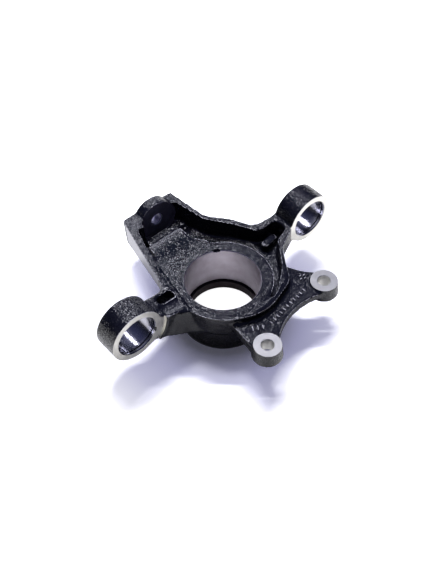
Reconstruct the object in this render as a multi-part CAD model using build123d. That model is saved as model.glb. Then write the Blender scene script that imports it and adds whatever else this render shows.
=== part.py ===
from build123d import *
import os
from math import cos, sin, radians

# Front steering knuckle of a small off-road vehicle: one iron casting, machined only
# where the wheel bearing, the ball joints, the tie rod and the brake caliper seat.
#
# Frame, millimetres: the origin is the centre of the wheel-bearing bore in the upper
# face of its housing. Z runs along the wheel axis, away from the lip that stops the
# bearing. The two ball-joint rings stand apart along X, the tie-rod tower reaches to
# +Y and the caliper plate to -Y.

# Wheel-bearing housing
BORE_R = 37.0               # seat of a 74 mm wheel bearing
BORE_DEPTH = 44.8
BORE_MOUTH = 0.7            # chamfer at the mouth of the seat
RELIEF_R = 38.1             # undercut at the foot of the seat
RELIEF_WIDTH = 1.6
LIP_R = 34.5                # inside of the lip that stops the bearing
HOUSING_R = 49.6
HOUSING_FOOT_R = 46.4       # the same wall where it steps in to the barrel
HOUSING_STEP_Z = -27.5
HOUSING_STEP = 2.5          # height of that step
BARREL_R = 43.4
HOUSING_FOOT_Z = -54.2
CREASE_CENTRE = (3.5, -1.5) # shallow groove between the bearing face and the front rim
CREASE_R = 46.0
CREASE_WIDTH = 3.0
CREASE_DEPTH = 0.9
CREASE_FROM = 186.0         # degrees
CREASE_ARC = 112.0

# Ball-joint rings: axes along Y, level with the upper face of the housing
RING_FACE_Y = 1.0           # both machined front faces lie in this plane
LEFT_RING = dict(x=-103.7, radius=28.0, bore=21.0, width=26.5, cutter=33.0)
RIGHT_RING = dict(x=119.5, radius=27.0, bore=20.2, width=25.8, cutter=29.0)
RING_EDGE = 1.2             # bevel of the rear rim
RING_MOUTH = 0.8            # bevel of the bore at the machined face
CLIP_SETBACK = 2.6          # snap-ring groove behind the machined face
CLIP_WIDTH = 1.4
CLIP_DEPTH = 1.1
CUTTER_REACH = 12.0         # how far in front of the face the spot-face cutter clears

# Body outline, seen along the wheel axis
FRONT_CENTRE = (8.6, -3.9)  # round front, a little off the axis of the bore
FRONT_R = 50.2
FRONT_FROM = -152.0         # degrees at which the round front runs into the arms
FRONT_TO = -72.0
LEFT_ARM_FRONT_Y = -2.5
RIGHT_ARM_FRONT_Y = 1.2
RIGHT_ARM_BACK_Y = 26.3
LEFT_ARM_BACK_Y = 27.0
ARM_INSET = 8.0             # the arms run this far past the axes of the rings
TOWER_END_Y = 127.5
WALL_DRAFT = 2.5            # degrees

# Heights
CUT_Z = -60.0               # below everything
DRAWN_DEPTH = 38.0          # depth to which drafted prisms are drawn before they are cut
RISE_Z = 30.0               # above everything
ARM_RISE = 6.5              # upper faces of the arms, where they meet the rings
ARM_ROOT_Z = -31.0          # underside of the left arm at the housing
GROOVE_START = (-43.6, 8.7) # groove between the housing's upper face and the left arm
GROOVE_TURN = 10.0          # degrees it leans from Y
GROOVE_BEFORE = 16.0        # how far it runs from there towards the front
GROOVE_BEHIND = 48.0        # and along the tower
GROOVE_WIDTH = 4.5
GROOVE_DEPTH = 2.2
GROOVE_RISE = 2.0
RIM_ROUND = 3.4             # rounding of the front rim's upper edge
TOWER_MIN_Y = 20.0
FLANK_NEAR = (45.0, -16.8)  # lower edge of the tower's walls: y, z near the housing
FLANK_FAR = (127.5, -32.7)  # and at the end

# Tie-rod boss at the end of the tower
BOSS_X = 10.0
BOSS_Z = -12.5
BOSS_R = 22.0
BOSS_START_Y = 110.0
BOSS_FACE_Y = 115.3         # machined seat of the tie-rod end
BOSS_HOLE_R = 6.5
BOSS_CUTTER_R = 22.3
BOSS_CUTTER_LENGTH = 7.8
SADDLE_R = 25.5             # swelling below the floor that carries the boss
SADDLE_START_Y = 97.0
SADDLE_TOP_Z = -22.0
SADDLE_FOOT_Z = -36.8

# Pocket behind the housing
FLOOR = 5.0                 # thickness of its floor
POCKET_DRAFT = 3.0          # degrees
TUB_FOOT_Z = -26.5          # underside of the floor
TUB_END_Z = -32.7           # the same at the end of the tower
LOBE_FOOT_Z = -22.2         # the same in the arm to the right
ARM_TIP_Z = -17.0           # and where that arm meets its ring
PAD_CENTRE = (74.0, 13.1)   # oblong cast pad on the floor of that arm
PAD_LENGTH = 20.0
PAD_WIDTH = 8.5
PAD_TURN = 9.0              # degrees
PAD_TOP_Z = -7.5
PAD_DRAFT = 6.0             # degrees
PAD_BEVEL = 1.2
SHOULDER_BACK_Y = 80.0      # raised shoulder between the housing and the tower's pocket
SHOULDER_RIGHT_X = 12.5
SHOULDER_TOP_Z = 4.2

# Caliper plate
PLATE_TOP_Z = -9.0
PLATE_FOOT_Z = -17.0
PLATE_RIB_Z = -22.3         # foot of the rib under the left edge
PLATE_DRAFT = 2.0           # degrees
EAR_LEFT = (-17.8, -81.7)
EAR_RIGHT = (75.9, -62.3)
EAR_FACE_R = 13.6
EAR_FOOT_R = 15.5
EAR_FACE_Z = -7.0
EAR_FOOT_Z = -22.5
EAR_HOLE_R = 6.2
EAR_DRILL = 60.0            # length of the drilling, through and beyond both faces


def on_circle(centre, radius, angle):
    """Point of a circle at an angle in degrees."""
    return (centre[0] + radius * cos(radians(angle)), centre[1] + radius * sin(radians(angle)))


def tangent_corner(centre, radius, start, end):
    """Corner where the tangents of a circle at two of its angles meet."""
    half = (end - start) / 2
    return on_circle(centre, radius / cos(radians(half)), start + half)


def rounded_face(corners):
    """Closed face from corners given as ((x, y), radius of the rounding)."""
    points = [point for point, _ in corners]
    radii = [radius for _, radius in corners]
    return make_face(FilletPolyline(*points, radius=radii, close=True))


def side_prism(corners, x_from, x_to):
    """Solid along X whose section is given in Y and Z."""
    return extrude(Plane.YZ.offset(x_from) * rounded_face(corners), amount=x_to - x_from)


def front_prism(corners, y_from, y_to):
    """Solid along Y whose section is given in X and Z."""
    return extrude(Plane.XZ.offset(-y_from) * rounded_face(corners), amount=y_from - y_to)


def y_cylinder(x, z, radius, y_from, y_to):
    """Cylinder along Y between two planes."""
    return extrude(Plane.XZ.offset(-y_from) * Pos(x, z) * Circle(radius), amount=y_from - y_to)


def body_outline():
    """Body seen along the wheel axis: round front, two arms and the tie-rod tower."""
    left_end = LEFT_RING["x"] + ARM_INSET
    right_end = RIGHT_RING["x"] - ARM_INSET
    return rounded_face([
        ((left_end, LEFT_ARM_FRONT_Y), 0),
        ((-49, LEFT_ARM_FRONT_Y), 14),
        (tangent_corner(FRONT_CENTRE, FRONT_R, FRONT_FROM, FRONT_TO), FRONT_R),
        ((49, -43.5), 20),
        ((60.2, -25.5), 25),
        ((72, -8.7), 14),
        ((97, RIGHT_ARM_FRONT_Y), 0),
        ((right_end, RIGHT_ARM_FRONT_Y), 0),
        ((right_end, RIGHT_ARM_BACK_Y), 0),
        ((88, 27.3), 20),
        ((71, 31.8), 14),
        ((60, 55.5), 30),
        ((43.1, 76.5), 18),
        ((38.6, TOWER_END_Y), 3),
        ((-24.6, TOWER_END_Y), 3),
        ((-50, 30.3), 12),
        ((-78, 27.3), 20),
        ((left_end, LEFT_ARM_BACK_Y), 0),
    ])


def arms_profile():
    """Side view of the two arms: they climb to the rings above and below."""
    return front_prism([
        ((LEFT_RING["x"], ARM_RISE), 0),
        ((-80, ARM_RISE), 8),
        ((-58, 0), 24),
        ((66, 0), 24),
        ((92, ARM_RISE), 8),
        ((RIGHT_RING["x"], ARM_RISE), 0),
        ((RIGHT_RING["x"], -15), 0),
        ((92, ARM_TIP_Z), 10),
        ((73, LOBE_FOOT_Z), 20),
        ((52, HOUSING_STEP_Z), 10),
        ((-40, HOUSING_STEP_Z), 6),
        ((-52, ARM_ROOT_Z), 8),
        ((-79, -24.3), 10),
        ((LEFT_RING["x"], -22), 0),
    ], y_from=FRONT_CENTRE[1] - FRONT_R - 1, y_to=34)


def tower_profile():
    """Side view of the tower's walls: the lower edge falls towards the end."""
    return side_prism([
        ((TOWER_MIN_Y, 0), 0),
        ((TOWER_END_Y, 0), 0),
        (FLANK_FAR, 6),
        (FLANK_NEAR, 12),
        ((34, -16), 8),
        ((TOWER_MIN_Y, HOUSING_STEP_Z), 0),
    ], x_from=-60, x_to=90)


def blank(depth, rise):
    """Prism of the body's outline, drawn in above and below the parting plane z = 0."""
    outline = body_outline()
    lower = extrude(outline, amount=depth, dir=(0, 0, -1), taper=WALL_DRAFT)
    return lower + extrude(outline, amount=rise, taper=WALL_DRAFT)


def pocket_outline():
    """Pocket between the housing, the shoulder, the end wall and the outer walls."""
    return rounded_face([
        ((-29.5, SHOULDER_BACK_Y), 0),
        ((SHOULDER_RIGHT_X, SHOULDER_BACK_Y), 4),
        ((SHOULDER_RIGHT_X, 64), 9),
        ((22, 49), 12),
        ((30, 5), 0),
        ((12, -47.5), 0),
        ((27, -47.3), 18),
        ((54, -26), 45),
        ((65.5, -10.5), 14),
        ((73.5, 1.5), 8),
        ((88.5, 4.8), 5),
        ((88.0, 19.5), 5),
        ((74, 22), 6),
        ((67, 26), 5),
        ((56, 48), 22),
        ((38.5, 74), 16),
        ((32.5, 113), 4),
        ((-12, 113), 4),
        ((-13, 106), 0),
        ((-21, 106), 3),
    ])


def tub_space(lift):
    """All that lies above the pocket's underside, raised by a thickness."""
    along = side_prism([
        ((-60, RISE_Z), 0),
        ((-60, TUB_FOOT_Z + lift), 0),
        ((86, TUB_FOOT_Z + lift), 12),
        ((102, TUB_END_Z + lift), 10),
        ((TOWER_END_Y, TUB_END_Z + lift), 0),
        ((TOWER_END_Y, RISE_Z), 0),
    ], x_from=-60, x_to=110)
    across = front_prism([
        ((-60, RISE_Z), 0),
        ((-60, CUT_Z), 0),
        ((30, CUT_Z), 0),
        ((46, TUB_FOOT_Z + lift), 8),
        ((62, LOBE_FOOT_Z + lift), 12),
        ((73, LOBE_FOOT_Z + lift), 12),
        ((92, ARM_TIP_Z + lift), 10),
        ((110, -15 + lift), 0),
        ((110, RISE_Z), 0),
    ], y_from=-60, y_to=TOWER_END_Y)
    return along & across


def tub_region():
    """Plan of the stretch that hangs lower to carry the pocket's floor."""
    return rounded_face([
        ((-34.6, 74), 4),
        ((6.5, 74), 5),
        ((6.5, 60), 8),
        ((20, 38), 0),
        ((20, -52), 0),
        ((110, -52), 0),
        ((110, 140), 0),
        ((-17.3, 140), 0),
    ])


def walls():
    """Arms and tower with the lower stretch under the pocket, still without its hollow."""
    prism = blank(DRAWN_DEPTH, RISE_Z)
    region = extrude(tub_region(), amount=DRAWN_DEPTH, dir=(0, 0, -1), taper=POCKET_DRAFT)
    return prism & (arms_profile() + tower_profile() + (region & tub_space(0)))


def pocket():
    """Hollow of the pocket, wider at its mouth, with a rounded foot."""
    outline = pocket_outline()
    hollow = extrude(outline, amount=DRAWN_DEPTH, dir=(0, 0, -1), taper=POCKET_DRAFT)
    hollow += extrude(outline, amount=RISE_Z, taper=-POCKET_DRAFT)
    return hollow & tub_space(FLOOR)


def shoulder():
    """Raised shoulder between the bearing housing and the end of the tower."""
    plan = extrude(Plane.XY.offset(CUT_Z) * rounded_face([
        ((-37, 40), 0),
        ((-31.5, 66), 6),
        ((-28.4, SHOULDER_BACK_Y + 2), 0),
        ((SHOULDER_RIGHT_X - 1.5, SHOULDER_BACK_Y + 2), 5),
        ((SHOULDER_RIGHT_X - 1.5, 63), 9),
        ((19, 41), 0),
    ]), amount=RISE_Z - CUT_Z)
    side = side_prism([
        ((38, -1), 0),
        ((38, 0), 0),
        ((57, 0), 14),
        ((69, SHOULDER_TOP_Z), 12),
        ((SHOULDER_BACK_Y, SHOULDER_TOP_Z - 0.8), 4),
        ((SHOULDER_BACK_Y + 1, -15), 0),
        ((70, -15), 0),
    ], x_from=-40, x_to=24)
    return plan & side


def housing():
    """Bearing housing: a wide drafted collar over the plain lower cylinder."""
    section = Plane.XZ * make_face(Polyline(
        (0, 0), (HOUSING_R, 0), (HOUSING_FOOT_R, HOUSING_STEP_Z), (BARREL_R, HOUSING_STEP_Z - HOUSING_STEP),
        (BARREL_R, HOUSING_FOOT_Z), (0, HOUSING_FOOT_Z), close=True))
    return revolve(section, axis=Axis.Z)


def bearing_bore():
    """Seat, undercut and lip as one turned hollow."""
    section = Plane.XZ * make_face(Polyline(
        (0, 1), (BORE_R + BORE_MOUTH + 1, 1), (BORE_R, -BORE_MOUTH), (BORE_R, -BORE_DEPTH + RELIEF_WIDTH),
        (RELIEF_R, -BORE_DEPTH + RELIEF_WIDTH), (RELIEF_R, -BORE_DEPTH), (LIP_R, -BORE_DEPTH),
        (LIP_R, HOUSING_FOOT_Z - 1), (0, HOUSING_FOOT_Z - 1), close=True))
    return revolve(section, axis=Axis.Z)


def front_crease():
    """Shallow groove between the bearing face and the rim in front of it."""
    half = CREASE_WIDTH / 2
    section = Plane.XZ * make_face(Polyline(
        (CREASE_R - half, 0), (CREASE_R, -CREASE_DEPTH), (CREASE_R + half, 0),
        (CREASE_R, 1), close=True))
    groove = revolve(section, axis=Axis.Z, revolution_arc=CREASE_ARC)
    return Pos(*CREASE_CENTRE) * Rot(0, 0, CREASE_FROM) * groove


def ring(x, radius, bore, width, cutter):
    """Ball-joint ring: barrel along Y with a bevelled rear rim."""
    barrel = y_cylinder(x, 0, radius, RING_FACE_Y, RING_FACE_Y + width)
    rear_rim = barrel.edges().group_by(Axis.Y)[-1]
    return chamfer(rear_rim, length=RING_EDGE)


def ring_cuts(x, radius, bore, width, cutter):
    """Machining of one ring: spot face, bore with bevelled mouth, snap-ring groove."""
    groove_y = RING_FACE_Y + CLIP_SETBACK
    mouth = y_cylinder(x, 0, bore + RING_MOUTH, RING_FACE_Y - 1, RING_FACE_Y + RING_MOUTH)
    mouth_edge = mouth.edges().group_by(Axis.Y)[-1]
    return (y_cylinder(x, 0, cutter, RING_FACE_Y - CUTTER_REACH, RING_FACE_Y)
            + chamfer(mouth_edge, length=RING_MOUTH * 0.99)
            + y_cylinder(x, 0, bore, RING_FACE_Y - 1, RING_FACE_Y + width + 1)
            + y_cylinder(x, 0, bore + CLIP_DEPTH, groove_y, groove_y + CLIP_WIDTH))


def root_gusset():
    """Swelling that blends the left arm's front wall into the round of the housing."""
    foot = Plane.XY.offset(ARM_ROOT_Z + 1) * rounded_face([
        ((-76, -1.5), 0),
        ((-50.5, -10.5), 16),
        ((-39, -24.5), 0),
        ((-30, -5), 0),
        ((-60, 12), 0),
    ])
    return extrude(foot, amount=28, taper=8) & arms_profile()


def left_groove():
    """Groove that parts the housing's upper face from the left arm and the tower's wall."""
    section = front_prism([
        ((0, GROOVE_RISE), 0),
        ((0, 0), 0),
        ((-GROOVE_WIDTH / 3, -GROOVE_DEPTH), 0),
        ((-GROOVE_WIDTH, 0), 0),
        ((-GROOVE_WIDTH, GROOVE_RISE), 0),
    ], y_from=-GROOVE_BEFORE, y_to=GROOVE_BEHIND)
    return Pos(*GROOVE_START) * Rot(0, 0, -GROOVE_TURN) * section


def left_recess():
    """Foundry recess in the upper face of the left arm: a slot behind a sloping step."""
    slot = extrude(Plane.XY.offset(-10) * rounded_face([
        ((-63.5, 16), 3),
        ((-48, 16), 3),
        ((-46.5, 23), 3),
        ((-63.5, 23), 3),
    ]), amount=RISE_Z, taper=-8)
    step = front_prism([
        ((-46, ARM_RISE), 0),
        ((-46.5, -2.8), 0),
        ((-70, 1.6), 0),
        ((-70, ARM_RISE), 0),
    ], y_from=1.5, y_to=13)
    return slot + step


def front_rounding():
    """Rounded upper edge of the rim in front of the housing, fading out at both arms."""
    path = FilletPolyline(
        (-62, -6.5), (-47, -6.5), tangent_corner(FRONT_CENTRE, FRONT_R, FRONT_FROM, FRONT_TO),
        (49, -43.5), (59.5, -26.7), (71, -17.5), radius=[6, FRONT_R, 20, 20])
    section = Plane(origin=path @ 0, x_dir=(0, -1, 0), z_dir=path % 0) * make_face(Polyline(
        (-RIM_ROUND, 0), (-RIM_ROUND / 3, -RIM_ROUND / 4), (0.2, -RIM_ROUND),
        (3, -RIM_ROUND), (3, 1), (-RIM_ROUND, 1), close=True))
    return sweep(section, path=path)


def lobe_pad():
    """Cast pad that stands on the floor of the right arm's pocket."""
    plan = Pos(*PAD_CENTRE, PAD_TOP_Z) * Rot(0, 0, PAD_TURN) * SlotOverall(PAD_LENGTH, PAD_WIDTH)
    pad = extrude(plan, amount=PAD_TOP_Z - LOBE_FOOT_Z, dir=(0, 0, -1), taper=-PAD_DRAFT)
    top_rim = pad.edges().group_by(Axis.Z)[-1]
    return chamfer(top_rim, PAD_BEVEL)


def tie_rod_boss():
    """Boss barrel that swells above and below the tower's end wall."""
    barrel = y_cylinder(BOSS_X, BOSS_Z, BOSS_R, BOSS_START_Y, TOWER_END_Y)
    saddle = y_cylinder(BOSS_X, BOSS_Z, SADDLE_R, SADDLE_START_Y, TOWER_END_Y)
    slab = Box(2 * SADDLE_R, TOWER_END_Y - SADDLE_START_Y, SADDLE_TOP_Z - SADDLE_FOOT_Z,
               align=(Align.CENTER, Align.MIN, Align.MIN))
    return barrel + (saddle & (Pos(BOSS_X, SADDLE_START_Y, SADDLE_FOOT_Z) * slab))


def tie_rod_cuts():
    """Spot face reached from inside the pocket, and the tie-rod hole."""
    face = y_cylinder(BOSS_X, BOSS_Z, BOSS_CUTTER_R, BOSS_FACE_Y - BOSS_CUTTER_LENGTH, BOSS_FACE_Y)
    hole = y_cylinder(BOSS_X, BOSS_Z, BOSS_HOLE_R, BOSS_FACE_Y - 1, TOWER_END_Y + 1)
    return face + hole


def caliper_ear(centre):
    """Tapered round foot of one caliper bolt."""
    height = EAR_FACE_Z - EAR_FOOT_Z
    cone = Cone(EAR_FOOT_R, EAR_FACE_R, height)
    return Pos(*centre, EAR_FOOT_Z + height / 2) * cone


def caliper_plate():
    """Web that carries the two caliper ears, hollowed between them."""
    left, right = Vector(*EAR_LEFT), Vector(*EAR_RIGHT)
    hollow = ThreePointArc((-7, -85.5), (33, -67.2), (68, -73))
    rim = Polyline((68, -73), tuple(right)[:2], (83, -52.5))
    right_side = FilletPolyline((83, -52.5), (70, -37.5), (60.5, -18), radius=30)
    root = Polyline((60.5, -18), (20, -20), (-20, -25), (-25.5, -36))
    left_side = Polyline((-25.5, -36), (-28.3, -66), (-31.2, -82), tuple(left)[:2], (-7, -85.5))
    face = make_face(hollow + rim + right_side + root + left_side)
    return extrude(Plane.XY.offset(PLATE_TOP_Z) * face, amount=PLATE_TOP_Z - PLATE_FOOT_Z,
                   dir=(0, 0, -1), taper=-PLATE_DRAFT)


def plate_rib():
    """Stiffening rib under the left edge of the caliper plate."""
    face = rounded_face([
        ((-24, -30), 0),
        ((-27.2, -66), 30),
        ((-30.5, -82), 0),
        ((-20, -82), 0),
        ((-16, -30), 0),
    ])
    return extrude(Plane.XY.offset(PLATE_TOP_Z - 1) * face, amount=PLATE_TOP_Z - 1 - PLATE_RIB_Z,
                   dir=(0, 0, -1), taper=-PLATE_DRAFT / 2)


def knuckle():
    """The whole casting, then everything that is machined into it."""
    cast = walls()
    cast += root_gusset()
    cast += caliper_plate()
    cast -= pocket()
    cast += shoulder()
    cast += lobe_pad()
    cast += housing()
    cast += tie_rod_boss()
    cast += plate_rib()
    for centre in (EAR_LEFT, EAR_RIGHT):
        cast += caliper_ear(centre)
    cast -= left_groove()
    cast -= left_recess()
    cast += ring(**LEFT_RING)
    cast += ring(**RIGHT_RING)
    cast -= front_crease()
    cast -= front_rounding()
    cast -= bearing_bore()
    cast -= ring_cuts(**LEFT_RING)
    cast -= ring_cuts(**RIGHT_RING)
    cast -= tie_rod_cuts()
    for centre in (EAR_LEFT, EAR_RIGHT):
        cast -= Pos(*centre, EAR_FOOT_Z) * Cylinder(EAR_HOLE_R, EAR_DRILL)
    return cast


os.makedirs("parts", exist_ok=True)
export_step(knuckle(), "parts/knuckle.step")
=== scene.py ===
from math import pi, radians

import bmesh
import bpy
from mathutils import Euler, Matrix, Vector, noise


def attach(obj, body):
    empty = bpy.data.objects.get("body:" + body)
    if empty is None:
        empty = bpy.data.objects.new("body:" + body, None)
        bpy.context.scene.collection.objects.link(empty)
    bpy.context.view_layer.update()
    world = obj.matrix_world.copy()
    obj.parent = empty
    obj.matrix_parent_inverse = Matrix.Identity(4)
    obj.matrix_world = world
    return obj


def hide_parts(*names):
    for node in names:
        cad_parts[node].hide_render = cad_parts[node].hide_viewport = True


# Front steering knuckle: a sand casting under a black coating, with bright seats turned
# and faced into it. Metres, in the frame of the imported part: the origin is the centre of
# the wheel-bearing bore in the upper face, Z along the wheel axis, the tower at +Y.

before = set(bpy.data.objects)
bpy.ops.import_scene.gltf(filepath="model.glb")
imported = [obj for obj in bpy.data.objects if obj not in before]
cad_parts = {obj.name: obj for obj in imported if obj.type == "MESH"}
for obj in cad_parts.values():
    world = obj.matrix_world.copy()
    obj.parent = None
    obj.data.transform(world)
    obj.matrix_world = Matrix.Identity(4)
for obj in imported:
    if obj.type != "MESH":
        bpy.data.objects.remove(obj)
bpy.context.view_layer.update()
MM = 0.001

# ------------------------------------------------------------------ sizes, millimetres

BORE_R, BORE_MOUTH, BORE_DEPTH = 37.0, 0.7, 44.8
UNDERCUT_R, UNDERCUT_WIDTH = 38.1, 1.6
LIP_R = 34.5
FOOT_Z, BARREL_R = -54.2, 43.4
RINGS = (
    dict(x=-103.7, radius=28.0, bore=21.0, width=26.5, cutter=33.0),
    dict(x=119.5, radius=27.0, bore=20.2, width=25.8, cutter=29.0),
)
RING_FACE_Y, RING_MOUTH, RING_RUN_IN = 1.0, 0.8, 12.0
CLIP_SETBACK, CLIP_WIDTH, CLIP_DEPTH = 2.6, 1.4, 1.1
EARS = ((-17.8, -81.7), (75.9, -62.3))
EAR_FACE_Z, EAR_FACE_R, EAR_FOOT_Z = -7.0, 13.6, -22.5
EAR_HOLE_R, EAR_MOUTH, EAR_DRILL_LENGTH = 6.2, 0.5, 30.0
EAR_CUTTER_R, EAR_CUTTER_HEIGHT = 17.5, 6.0
BOSS_X, BOSS_Z, BOSS_FACE_Y = 10.0, -12.5, 115.3
BOSS_CUTTER_R, BOSS_CUTTER_LENGTH = 22.3, 7.8
BOSS_HOLE_R, BOSS_MOUTH, BOSS_DRILL_LENGTH = 6.5, 0.8, 16.0
TOWER_END_Y = 127.5
FLANK_TURN, FLANK_DRAFT = 75.3, 2.5   # degrees
FLANK_SET, FLANK_THICK = 55.7, 6.0
FLANK_FROM, FLANK_TO, FLANK_LOW, FLANK_HIGH = 30.0, 113.0, -26.6, 3.0

# Hollows that the mould left: centre, half lengths, turn about Z in degrees.
FLAWS = (
    ((20.1, 32.2, -0.6), (2.0, 4.4, 2.0), 58.0),
    ((-82.9, 1.0, -7.2), (1.5, 1.6, 3.3), 0.0),
)

# Raised bars on the plate: x, y, length, turn about Z in degrees. A few stand near each
# ear, and a row of eleven runs between them.
ROW_START, ROW_STEP, ROW_LENGTH, ROW_TURN, ROW_COUNT = (3.3, -64.4), (5.05, 0.78), 3.8, 96, 11
BARS = (
    (-14.5, -58.3, 5.0, 60), (-10.2, -60.6, 5.0, 60), (-5.9, -62.9, 5.0, 60),
    (63.8, -41.5, 2.6, 0), (67.6, -43.2, 2.6, 0),
    (61.8, -44.9, 2.6, 0), (65.6, -46.6, 2.6, 0),
) + tuple((ROW_START[0] + ROW_STEP[0] * i, ROW_START[1] + ROW_STEP[1] * i, ROW_LENGTH, ROW_TURN)
          for i in range(ROW_COUNT))
BARS_Z, BAR_WIDTH, BAR_HEIGHT, BAR_EDGE = -9.15, 1.1, 1.7, 0.3

# The casting before machining, and the cutters.
STOCK = 2.2           # metal left on the casting where a seat is cut
PLUG = 2.0            # how far a filling rod runs into the metal round its hole
EAR_ROOT = 1.0        # how far under its face an ear's extra metal starts
BOSS_STOCK, BOSS_INSET, BOSS_PLUG = 1.2, 0.4, 1.0
OVERRUN = 4.0         # how far a cutter runs out past the metal
GRAIN = 1.2           # mesh size of the cast skin
SOFTEN, SOFTEN_BY = 5, 0.5         # passes that round the cast edges, and how much each does
LUMPS, WAVES = 330, 90             # scales of the mould's unevenness, 3 mm and 11 mm wide
RELIEF, RELIEF_SINK = 0.07, 0.12   # height of either, and how far the skin sits in
SHARP = 35            # degrees; edges sharper than this are shaded sharp

# Faces round a turned form.
BORE_STEPS, RING_STEPS, EAR_STEPS, BOSS_STEPS, ROD_STEPS = 160, 128, 80, 96, 96

# Patterns in the finishes.
SAND_WIDTH = 0.7407   # a grain of sand, as drawn
SAND_BEND, SAND_BEND_WIDTH = 2.2, 2.0
PAINT_PATCH, METAL_CLOUD = 22.22, 11.11
FEED_DEPTH = 0.02
WAVE_PITCH = 0.314    # distance between a wave texture's rings at a scale of 1


# ------------------------------------------------------------------ camera

CAMERA_PLACE = (-0.35636, -0.40806, 0.64236)
CAMERA_TURN = (39.7328, 0.8311, -41.1997)
CAMERA_LENS, CAMERA_SENSOR = 55.007, 36.0


def place_camera():
    """Camera above the front left of the part."""
    data = bpy.data.cameras.new("camera")
    data.lens, data.sensor_width = CAMERA_LENS, CAMERA_SENSOR
    camera = bpy.data.objects.new("camera", data)
    camera.location = CAMERA_PLACE
    camera.rotation_euler = Euler([radians(angle) for angle in CAMERA_TURN], "XYZ")
    bpy.context.scene.collection.objects.link(camera)
    bpy.context.scene.camera = camera


# ------------------------------------------------------------------ materials

def linear(code):
    """Linear colour of an sRGB hex value."""
    channels = [int(code[i:i + 2], 16) / 255 for i in (0, 2, 4)]
    return tuple(c / 12.92 if c <= 0.04045 else ((c + 0.055) / 1.055) ** 2.4
                 for c in channels) + (1.0,)


def scale_for(width):
    """Pattern scale that makes its features this many millimetres wide."""
    return 1 / (width * MM)


def add(tree, kind, settings=None, links=None):
    """Adds a node. Settings are its properties, or values of its sockets by name or
    number, and "stops" are a colour ramp's (position, hex). Links feed its sockets."""
    node = tree.nodes.new(kind)
    for key, value in (settings or {}).items():
        if key == "stops":
            elements = node.color_ramp.elements
            while len(elements) < len(value):
                elements.new(1.0)
            for element, (position, code) in zip(elements, value):
                element.position, element.color = position, linear(code)
        elif isinstance(key, int) or key in node.inputs:
            node.inputs[key].default_value = value
        else:
            setattr(node, key, value)
    for key, source in (links or {}).items():
        tree.links.new(source, node.inputs[key])
    return node


def new_material(name):
    """Empty node material with its output and object coordinates."""
    material = bpy.data.materials.new(name)
    material.use_nodes = True
    tree = material.node_tree
    tree.nodes.clear()
    output = tree.nodes.new("ShaderNodeOutputMaterial")
    place = add(tree, "ShaderNodeTexCoord").outputs["Object"]
    return material, tree, output, place


def coated_casting():
    """Sand-cast iron under sprayed black paint: a blue-black gloss that follows the sand
    grain, so upper faces glitter where a grain leans to the light. Upper edges carry a painted
    highlight in pale grey. Grains of 0.2 mm are too fine to show, so they are drawn 0.7 mm
    wide."""
    material, tree, output, place = new_material("black paint over sand-cast iron")
    geometry = add(tree, "ShaderNodeNewGeometry").outputs

    # Sand: cells with bent borders, each with a colour of its own.
    bends = add(tree, "ShaderNodeTexNoise",
                {"Scale": scale_for(SAND_BEND_WIDTH), "Detail": 1.0}, {"Vector": place})
    bent = add(tree, "ShaderNodeVectorMath",
               {"operation": "MULTIPLY_ADD", 1: (SAND_BEND * MM,) * 3},
               {0: bends.outputs["Color"], 2: place})
    sand = add(tree, "ShaderNodeTexVoronoi", {"Scale": scale_for(SAND_WIDTH)},
               {"Vector": bent.outputs["Vector"]}).outputs["Color"]

    # Each grain leans by its colour, and less on edges, where it is worn flat.
    lean = add(tree, "ShaderNodeMapRange",
               {"From Min": 0.5, "From Max": 0.54, "To Min": 0.5, "To Max": 0.12},
               {"Value": geometry["Pointiness"]})
    centred = add(tree, "ShaderNodeVectorMath", {"operation": "SUBTRACT", 1: (0.5,) * 3},
                  {0: sand})
    tilt = add(tree, "ShaderNodeVectorMath", {"operation": "SCALE"},
               {0: centred.outputs["Vector"], "Scale": lean.outputs["Result"]})
    leaning = add(tree, "ShaderNodeVectorMath", {"operation": "ADD"},
                  {0: tilt.outputs["Vector"], 1: geometry["Normal"]})
    facet = add(tree, "ShaderNodeVectorMath", {"operation": "NORMALIZE"},
                {0: leaning.outputs["Vector"]})

    # Paint, slightly paler and duller in patches.
    patches = add(tree, "ShaderNodeTexNoise",
                  {"Scale": scale_for(PAINT_PATCH), "Detail": 2.0},
                  {"Vector": place}).outputs["Fac"]
    paint = add(tree, "ShaderNodeValToRGB", {"stops": [(0.35, "0A0B14"), (0.7, "10111C")]},
                {"Fac": patches})
    rough = add(tree, "ShaderNodeMapRange",
                {"From Min": 0.35, "From Max": 0.7, "To Min": 0.2, "To Max": 0.27},
                {"Value": patches})

    # Painted highlight: pale grey on sharp edges of faces that look up, broken by the grain.
    edge_highlight = add(tree, "ShaderNodeMapRange",
                 {"From Min": 0.531, "From Max": 0.563, "To Max": 2.6},
                 {"Value": geometry["Pointiness"]})
    upward = add(tree, "ShaderNodeSeparateXYZ", links={"Vector": geometry["Normal"]})
    upward_edge_highlight = add(tree, "ShaderNodeMath", {"operation": "MULTIPLY", "use_clamp": True},
                  {0: edge_highlight.outputs["Result"], 1: upward.outputs["Z"]})
    grainy_edge_highlight = add(tree, "ShaderNodeMath", {"operation": "MULTIPLY"},
                 {0: upward_edge_highlight.outputs["Value"], 1: sand})
    # The pale grey C4C4D2 is the painted highlight, mixed over the paint.
    skin = add(tree, "ShaderNodeMixRGB", {"Color2": linear("C4C4D2")},
               {"Fac": grainy_edge_highlight.outputs["Value"], "Color1": paint.outputs["Color"]})

    shader = add(tree, "ShaderNodeBsdfPrincipled", {"IOR": 1.5},
                 {"Base Color": skin.outputs["Color"], "Roughness": rough.outputs["Result"],
                  "Normal": facet.outputs["Vector"]})
    tree.links.new(shader.outputs["BSDF"], output.inputs["Surface"])
    return material


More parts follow.
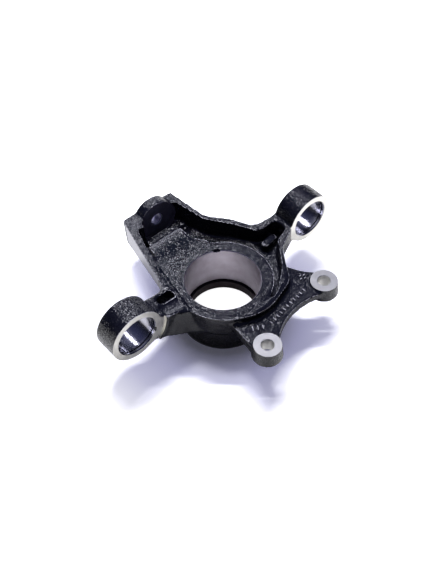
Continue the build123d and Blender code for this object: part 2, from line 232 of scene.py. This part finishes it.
def machined(name, tint, roughness, pitch, axis, metallic=1.0):
    """Iron cut on a lathe or mill, with feed marks of a given pitch round an axis. The
    pitch is in millimetres, and the axis is a place in metres."""
    material, tree, output, place = new_material(name)
    centred = add(tree, "ShaderNodeMapping", {"Location": tuple(-c for c in axis)},
                  {"Vector": place})
    feed = add(tree, "ShaderNodeTexWave",
               {"wave_type": "RINGS", "rings_direction": "SPHERICAL",
                "Scale": WAVE_PITCH / (pitch * MM), "Distortion": 1.5, "Detail": 1.0},
               {"Vector": centred.outputs["Vector"]})
    cloud = add(tree, "ShaderNodeTexNoise", {"Scale": scale_for(METAL_CLOUD), "Detail": 3.0},
                {"Vector": place})
    low, high = tint
    colour = add(tree, "ShaderNodeValToRGB", {"stops": [(0.3, low), (0.7, high)]},
                 {"Fac": cloud.outputs["Fac"]})
    marks = add(tree, "ShaderNodeBump", {"Strength": 0.5, "Distance": FEED_DEPTH * MM},
                {"Height": feed.outputs["Fac"]})
    shader = add(tree, "ShaderNodeBsdfPrincipled",
                 {"Metallic": metallic, "Roughness": roughness},
                 {"Base Color": colour.outputs["Color"], "Normal": marks.outputs["Normal"]})
    tree.links.new(shader.outputs["BSDF"], output.inputs["Surface"])
    return material


# ------------------------------------------------------------------ building the mesh

def along(axis, point):
    """Matrix that takes local Z to an axis of the part and the origin to a point."""
    turn = Vector((0, 0, 1)).rotation_difference(Vector(axis)).to_matrix().to_4x4()
    return Matrix.Translation(Vector(point) * MM) @ turn


def turned(bm, profile, matrix, steps):
    """Spins a profile of (radius, height, material) about local Z into a closed tool.
    Each material index belongs to the stretch that starts at its point."""
    chain = [bm.verts.new((r * MM, 0, h * MM)) for r, h, _ in profile]
    edges = [bm.edges.new(pair) for pair in zip(chain, chain[1:])]
    bmesh.ops.spin(bm, geom=chain + edges, cent=(0, 0, 0), axis=(0, 0, 1),
                   angle=2 * pi, steps=steps, use_merge=True)
    verts = [v for v in bm.verts if not v.tag]
    faces = [f for f in bm.faces if not f.tag]
    middles = [((a[0] + b[0]) / 2, (a[1] + b[1]) / 2, a[2])
               for a, b in zip(profile, profile[1:])]
    for face in faces:
        centre = sum((v.co for v in face.verts), Vector()) / len(face.verts)
        r, h = Vector((centre.x, centre.y)).length / MM, centre.z / MM
        face.material_index = min(middles, key=lambda m: abs(m[0] - r) + abs(m[1] - h))[2]
        face.tag = True
    bmesh.ops.transform(bm, matrix=matrix, verts=verts)
    for vert in verts:
        vert.tag = True


def rod(bm, radius, start, end, matrix):
    """Plain cylinder between two heights along local Z."""
    middle = Matrix.Translation((0, 0, (start + end) / 2 * MM))
    bmesh.ops.create_cone(bm, cap_ends=True, segments=ROD_STEPS, radius1=radius * MM,
                          radius2=radius * MM, depth=(end - start) * MM,
                          matrix=matrix @ middle)


def object_from(bm, name, materials):
    """Object at the origin from a bmesh, with its faces turned outwards."""
    bmesh.ops.remove_doubles(bm, verts=bm.verts, dist=1e-6)
    bmesh.ops.recalc_face_normals(bm, faces=bm.faces)
    mesh = bpy.data.meshes.new(name)
    bm.to_mesh(mesh)
    bm.free()
    for material in materials:
        mesh.materials.append(material)
    piece = bpy.data.objects.new(name, mesh)
    bpy.context.scene.collection.objects.link(piece)
    return piece


def apply_modifiers(piece):
    """Replaces the piece's mesh by what its modifiers make of it."""
    graph = bpy.context.evaluated_depsgraph_get()
    done = bpy.data.meshes.new_from_object(piece.evaluated_get(graph))
    piece.modifiers.clear()
    piece.data = done


def rough_casting(material):
    """The casting before machining: solid where the seats come, with soft edges."""
    bm = bmesh.new()
    bm.from_mesh(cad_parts["knuckle"].data)
    bmesh.ops.remove_doubles(bm, verts=bm.verts, dist=1e-6)
    for face in bm.faces:
        face.material_index = 0
    up = along((0, 0, 1), (0, 0, 0))
    rod(bm, UNDERCUT_R + PLUG, FOOT_Z, 0, up)
    rod(bm, BARREL_R, FOOT_Z - STOCK, FOOT_Z + PLUG, up)
    for ring in RINGS:
        axis = along((0, 1, 0), (ring["x"], 0, 0))
        rod(bm, ring["radius"], RING_FACE_Y - STOCK, RING_FACE_Y + PLUG, axis)
        rod(bm, ring["bore"] + PLUG, RING_FACE_Y, RING_FACE_Y + ring["width"], axis)
    for x, y in EARS:
        axis = along((0, 0, 1), (x, y, 0))
        rod(bm, EAR_FACE_R, EAR_FACE_Z - EAR_ROOT, EAR_FACE_Z + STOCK, axis)
        rod(bm, EAR_HOLE_R + PLUG, EAR_FOOT_Z, EAR_FACE_Z, axis)
    boss = along((0, 1, 0), (BOSS_X, 0, BOSS_Z))
    rod(bm, BOSS_CUTTER_R - BOSS_INSET, BOSS_FACE_Y - BOSS_STOCK, BOSS_FACE_Y + PLUG, boss)
    rod(bm, BOSS_HOLE_R + BOSS_PLUG, BOSS_FACE_Y, TOWER_END_Y, boss)
    mesh = bpy.data.meshes.new("casting")
    bm.to_mesh(mesh)
    bm.free()
    piece = bpy.data.objects.new("casting", mesh)
    bpy.context.scene.collection.objects.link(piece)
    skin = piece.modifiers.new("skin", "REMESH")
    skin.mode, skin.voxel_size = "VOXEL", GRAIN * MM
    smooth = piece.modifiers.new("soften", "SMOOTH")
    smooth.factor, smooth.iterations = SOFTEN_BY, SOFTEN
    apply_modifiers(piece)
    piece.data.materials.clear()
    piece.data.materials.append(material)
    return piece


def sand_relief(piece):
    """Uneven skin of the sand mould, a tenth or two of a millimetre deep."""
    bm = bmesh.new()
    bm.from_mesh(piece.data)
    bm.normal_update()
    moves = []
    for vert in bm.verts:
        lumps = noise.noise(vert.co * LUMPS)
        waves = noise.noise(vert.co * WAVES)
        moves.append(vert.normal * (RELIEF * lumps + RELIEF * waves - RELIEF_SINK) * MM)
    for vert, move in zip(bm.verts, moves):
        vert.co += move
    bm.to_mesh(piece.data)
    bm.free()


def set_down(centre, turn, halves):
    """Matrix that stretches a unit shape, turns it about Z and takes it to its centre."""
    place = Matrix.Translation(Vector(centre) * MM) @ Matrix.Rotation(radians(turn), 4, "Z")
    return place @ Matrix.Diagonal((*halves, 1))


def flaws(materials):
    """Hollows in the casting that the seats are later cut across."""
    bm = bmesh.new()
    for centre, halves, turn in FLAWS:
        bmesh.ops.create_icosphere(bm, subdivisions=2, radius=MM,
                                   matrix=set_down(centre, turn, halves))
    return object_from(bm, "flaws", materials)


def raised_bars(material):
    """Plain raised bars on the plate, where the foundry would put its marks."""
    bm = bmesh.new()
    for x, y, length, turn in BARS:
        size = (length, BAR_WIDTH, BAR_HEIGHT)
        bmesh.ops.create_cube(bm, size=MM, matrix=set_down((x, y, BARS_Z), turn, size))
    bmesh.ops.bevel(bm, geom=bm.edges, offset=BAR_EDGE * MM, offset_type="OFFSET",
                    segments=2, profile=0.5, affect="EDGES", material=-1)
    bars = object_from(bm, "cast_marks", [material])
    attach(bars, "root")


# Places of the finishes in FINISHES, after the paint at 0.
FACED, RING_BORE, GROOVE, SEAT, LIP, EAR, SPOT, FLANK = range(1, 9)


def cutting_tools(materials):
    """One mesh with the swept form of every cutter."""
    bm = bmesh.new()
    turned(bm, [
        (0, OVERRUN, SEAT), (BORE_R + BORE_MOUTH + OVERRUN, OVERRUN, SEAT),
        (BORE_R, -BORE_MOUTH, SEAT),
        (BORE_R, -BORE_DEPTH + UNDERCUT_WIDTH, LIP),
        (UNDERCUT_R, -BORE_DEPTH + UNDERCUT_WIDTH, LIP), (UNDERCUT_R, -BORE_DEPTH, LIP),
        (LIP_R, -BORE_DEPTH, LIP), (LIP_R, FOOT_Z, FACED),
        (BARREL_R + OVERRUN, FOOT_Z, FACED), (BARREL_R + OVERRUN, FOOT_Z - OVERRUN, FACED),
        (0, FOOT_Z - OVERRUN, FACED),
    ], along((0, 0, 1), (0, 0, 0)), BORE_STEPS)
    for ring in RINGS:
        bore, groove = ring["bore"], CLIP_SETBACK
        turned(bm, [
            (0, -RING_RUN_IN, FACED), (ring["cutter"], -RING_RUN_IN, FACED),
            (ring["cutter"], 0, FACED),
            (bore + RING_MOUTH, 0, RING_BORE), (bore, RING_MOUTH, RING_BORE),
            (bore, groove, GROOVE), (bore + CLIP_DEPTH, groove, GROOVE),
            (bore + CLIP_DEPTH, groove + CLIP_WIDTH, GROOVE),
            (bore, groove + CLIP_WIDTH, RING_BORE),
            (bore, ring["width"] + OVERRUN, RING_BORE),
            (0, ring["width"] + OVERRUN, RING_BORE),
        ], along((0, 1, 0), (ring["x"], RING_FACE_Y, 0)), RING_STEPS)
    for x, y in EARS:
        turned(bm, [
            (0, -EAR_DRILL_LENGTH, EAR), (EAR_HOLE_R, -EAR_DRILL_LENGTH, EAR),
            (EAR_HOLE_R, -EAR_MOUTH, EAR), (EAR_HOLE_R + EAR_MOUTH, 0, EAR),
            (EAR_CUTTER_R, 0, EAR), (EAR_CUTTER_R, EAR_CUTTER_HEIGHT, EAR),
            (0, EAR_CUTTER_HEIGHT, EAR),
        ], along((0, 0, 1), (x, y, EAR_FACE_Z)), EAR_STEPS)
    turned(bm, [
        (0, -BOSS_CUTTER_LENGTH, SPOT), (BOSS_CUTTER_R, -BOSS_CUTTER_LENGTH, SPOT),
        (BOSS_CUTTER_R, 0, SPOT), (BOSS_HOLE_R + BOSS_MOUTH, 0, EAR),
        (BOSS_HOLE_R, BOSS_MOUTH, SPOT),
        (BOSS_HOLE_R, BOSS_DRILL_LENGTH, SPOT), (0, BOSS_DRILL_LENGTH, SPOT),
    ], along((0, 1, 0), (BOSS_X, BOSS_FACE_Y, BOSS_Z)), BOSS_STEPS)
    flank_wheel(bm)
    return object_from(bm, "tools", materials)


def flank_wheel(bm):
    """Flat cut that cleans the left side of the tower, inside its rounded edges."""
    face = Matrix.Rotation(radians(FLANK_TURN), 4, "Z")
    face = face @ Matrix.Rotation(radians(-FLANK_DRAFT), 4, "X")
    size = Matrix.Diagonal(((FLANK_TO - FLANK_FROM) * MM, FLANK_THICK * MM,
                            (FLANK_HIGH - FLANK_LOW) * MM, 1))
    shift = Vector((FLANK_FROM + FLANK_TO, 0, FLANK_LOW + FLANK_HIGH)) / 2
    shift.y = FLANK_SET + FLANK_THICK / 2
    block = bmesh.ops.create_cube(bm, size=1.0,
                                  matrix=face @ Matrix.Translation(shift * MM) @ size)
    for side in {f for v in block["verts"] for f in v.link_faces}:
        side.material_index = FLANK


def cut_away(piece, tools):
    """Cuts the tools' form out of the piece; cut faces take the finish of their tool."""
    cut = piece.modifiers.new("cut", "BOOLEAN")
    cut.operation, cut.object, cut.solver = "DIFFERENCE", tools, "EXACT"
    cut.material_mode = "TRANSFER"
    apply_modifiers(piece)
    bpy.data.objects.remove(tools)


def smooth_by_angle(piece, angle):
    """Smooth shading, except across edges sharper than the angle in degrees and between
    one finish and the next."""
    bm = bmesh.new()
    bm.from_mesh(piece.data)
    for face in bm.faces:
        face.smooth = True
    for edge in bm.edges:
        edge.smooth = edge.calc_face_angle(0.0) < radians(angle)
        if len({face.material_index for face in edge.link_faces}) > 1:
            edge.smooth = False
    bm.to_mesh(piece.data)
    bm.free()


# ------------------------------------------------------------------ floor and light

FLOOR_SIZE = 6.0
GLOW_REACH = 0.2      # metres from the bearing axis to the end of the floor's ramp
GLOW_IN_GLOSS = 0.2   # share of the glow that reflections see
# Glow by distance from the bearing axis: white under the bore is painted light, the dim band
# round the foot is painted shadow, white far off is the backdrop.
GLOW = [(0.0, "FFFFFF"), (0.19, "FFFFFF"), (0.2, "383844"), (0.25, "383844"),
        (0.4, "8A8AAA"), (0.55, "A6A6C0"), (0.9, "FFFFFF")]
ROOM = [(0.0, "06060A"), (0.2, "1C1E30"), (0.5, "383C58"), (0.8, "4C5076")]
ROOM_FILL = 0.08


def floor(z):
    """White paper floor. A glow that only the eye and, weaker, gloss can see lifts it to
    white away from the part. Under the bore it is painted light, white where the floor lies in
    shadow, and round the foot it is left dim, a painted shadow."""
    material, tree, output, place = new_material("white studio floor")
    path = add(tree, "ShaderNodeLightPath").outputs
    seen = add(tree, "ShaderNodeMath", {"operation": "MULTIPLY_ADD", 1: GLOW_IN_GLOSS},
               {0: path["Is Glossy Ray"], 2: path["Is Camera Ray"]})
    paper = add(tree, "ShaderNodeBsdfDiffuse", {"Color": linear("F2F2F4")})
    level = add(tree, "ShaderNodeMapping", {"Location": (0.0, 0.0, -z)}, {"Vector": place})
    away = add(tree, "ShaderNodeVectorMath", {"operation": "LENGTH"},
               {0: level.outputs["Vector"]})
    reach = add(tree, "ShaderNodeMapRange", {"From Max": GLOW_REACH},
                {"Value": away.outputs["Value"]})
    # Glow by distance: painted light under the bore, painted shadow round the foot.
    glow_and_painted_shade = add(tree, "ShaderNodeValToRGB", {"stops": GLOW}, {"Fac": reach.outputs["Result"]})
    glow = add(tree, "ShaderNodeEmission",
               links={"Color": glow_and_painted_shade.outputs["Color"], "Strength": seen.outputs["Value"]})
    both = add(tree, "ShaderNodeAddShader",
               links={0: paper.outputs["BSDF"], 1: glow.outputs["Emission"]})
    tree.links.new(both.outputs["Shader"], output.inputs["Surface"])
    bm = bmesh.new()
    bmesh.ops.create_grid(bm, x_segments=1, y_segments=1, size=FLOOR_SIZE,
                          matrix=Matrix.Translation((0, 0, z)))
    object_from(bm, "floor", [material])


def soft_light(name, place, width, height, radiance, tint="FFFFFF"):
    """Rectangular light turned to the part, level along its width."""
    data = bpy.data.lights.new(name, "AREA")
    data.shape, data.size, data.size_y = "RECTANGLE", width, height
    data.energy = radiance * width * height * pi
    data.color = linear(tint)[:3]
    lamp = bpy.data.objects.new(name, data)
    lamp.location = place
    lamp.rotation_euler = Vector(place).to_track_quat("Z", "Y").to_euler()
    bpy.context.scene.collection.objects.link(lamp)
    return lamp


def studio_world():
    """White behind the part. Gloss sees a dim blue room, darkest at the horizon."""
    world = bpy.data.worlds.new("studio")
    world.use_nodes = True
    bpy.context.scene.world = world
    tree = world.node_tree
    tree.nodes.clear()
    output = tree.nodes.new("ShaderNodeOutputWorld")
    path = add(tree, "ShaderNodeLightPath").outputs
    white = add(tree, "ShaderNodeBackground", {"Color": linear("FFFFFF"), "Strength": 1.0})
    fill = add(tree, "ShaderNodeBackground",
               {"Color": linear("DCDCE8"), "Strength": ROOM_FILL})
    toward = add(tree, "ShaderNodeTexCoord").outputs["Generated"]
    height = add(tree, "ShaderNodeSeparateXYZ", links={"Vector": toward}).outputs["Z"]
    room = add(tree, "ShaderNodeValToRGB", {"stops": ROOM}, {"Fac": height})
    mirrored = add(tree, "ShaderNodeBackground", {"Strength": 1.0},
                   {"Color": room.outputs["Color"]})
    around = add(tree, "ShaderNodeMixShader",
                 links={"Fac": path["Is Glossy Ray"], 1: fill.outputs["Background"],
                        2: mirrored.outputs["Background"]})
    choose = add(tree, "ShaderNodeMixShader",
                 links={"Fac": path["Is Camera Ray"], 1: around.outputs["Shader"],
                        2: white.outputs["Background"]})
    tree.links.new(choose.outputs["Shader"], output.inputs["Surface"])


# ------------------------------------------------------------------ the scene

# Where each finish centres its feed marks, in metres. Both rings use the left ring's centre,
# so the marks on the right ring are nearly straight.
RING_MARKS, BORE_MARKS = (-0.1037, 0.001, 0), (0, 0, 0)
EAR_MARKS, BOSS_MARKS = (-0.0178, -0.0817, -0.007), (0.01, 0.1153, -0.0125)
FLANK_MARKS = (0.47, 2.0, 0)

place_camera()
CAST = coated_casting()
FINISHES = [
    CAST,
    # Faced with a turning tool: pale and even, with marks just wide enough to see.
    machined("faced cast iron", ("D2D0C8", "E4E2DA"), roughness=0.35, pitch=0.9,
             axis=RING_MARKS),
    # Finely bored: the smoothest metal on the part, with long streaks of light.
    machined("bored ring wall", ("94949C", "A8A8B0"), roughness=0.2, pitch=0.5,
             axis=RING_MARKS),
    # A narrow groove that little light reaches, drawn as a dark line round the bore: its dark
    # colour is painted shade.
    machined("snap-ring groove", ("3C3A3E", "58565A"), roughness=0.4, pitch=0.5,
             axis=RING_MARKS),
    # Bored to a satin, slightly pink grey.
    machined("bored bearing seat", ("BEB6BE", "D0CAD2"), roughness=0.5, pitch=0.6,
             axis=BORE_MARKS),
    # Turned, at the bore's end: a dull brown-black band, whose dark colour is painted shade.
    machined("bore lip in painted shade", ("342C30", "403A3C"), roughness=0.5, pitch=0.6,
             axis=BORE_MARKS),
    # Milled: matt and nearly white.
    machined("milled ear face", ("DEDDD8", "EAE9E4"), roughness=0.6, pitch=0.5,
             axis=EAR_MARKS),
    # Cut, then painted over black, with no metal showing: its smooth blue-grey colour is
    # painted sheen, lighter than the black paint.
    machined("spot face with painted sheen", ("6C6A84", "8482A0"), roughness=0.3, pitch=0.8,
             axis=BOSS_MARKS, metallic=0.0),
    # Ground flat with a large wheel: a smooth sheen with long shallow arcs.
    machined("ground flank", ("50505A", "60606A"), roughness=0.22, pitch=1.4,
             axis=FLANK_MARKS),
]
casting = rough_casting(CAST)
sand_relief(casting)
cut_away(casting, flaws(FINISHES))
cut_away(casting, cutting_tools(FINISHES))
smooth_by_angle(casting, SHARP)
raised_bars(CAST)
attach(casting, "root")
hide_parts("knuckle")

floor(FOOT_Z * MM)
# The strip casts the shadows and has no reflection. The two boxes give the reflections.
strip = soft_light("strip behind", (0.74, 0.84, 1.66), width=1.0, height=0.09, radiance=190)
strip.visible_glossy = False
soft_light("box above", (0.1, 0.55, 1.2), width=0.3, height=0.2, radiance=36, tint="F4F4FF")
soft_light("low box behind", (0.5, 1.15, 0.42), width=0.9, height=0.5, radiance=5,
           tint="F0F1FF")
studio_world()
bpy.context.scene.view_settings.view_transform = "Standard"
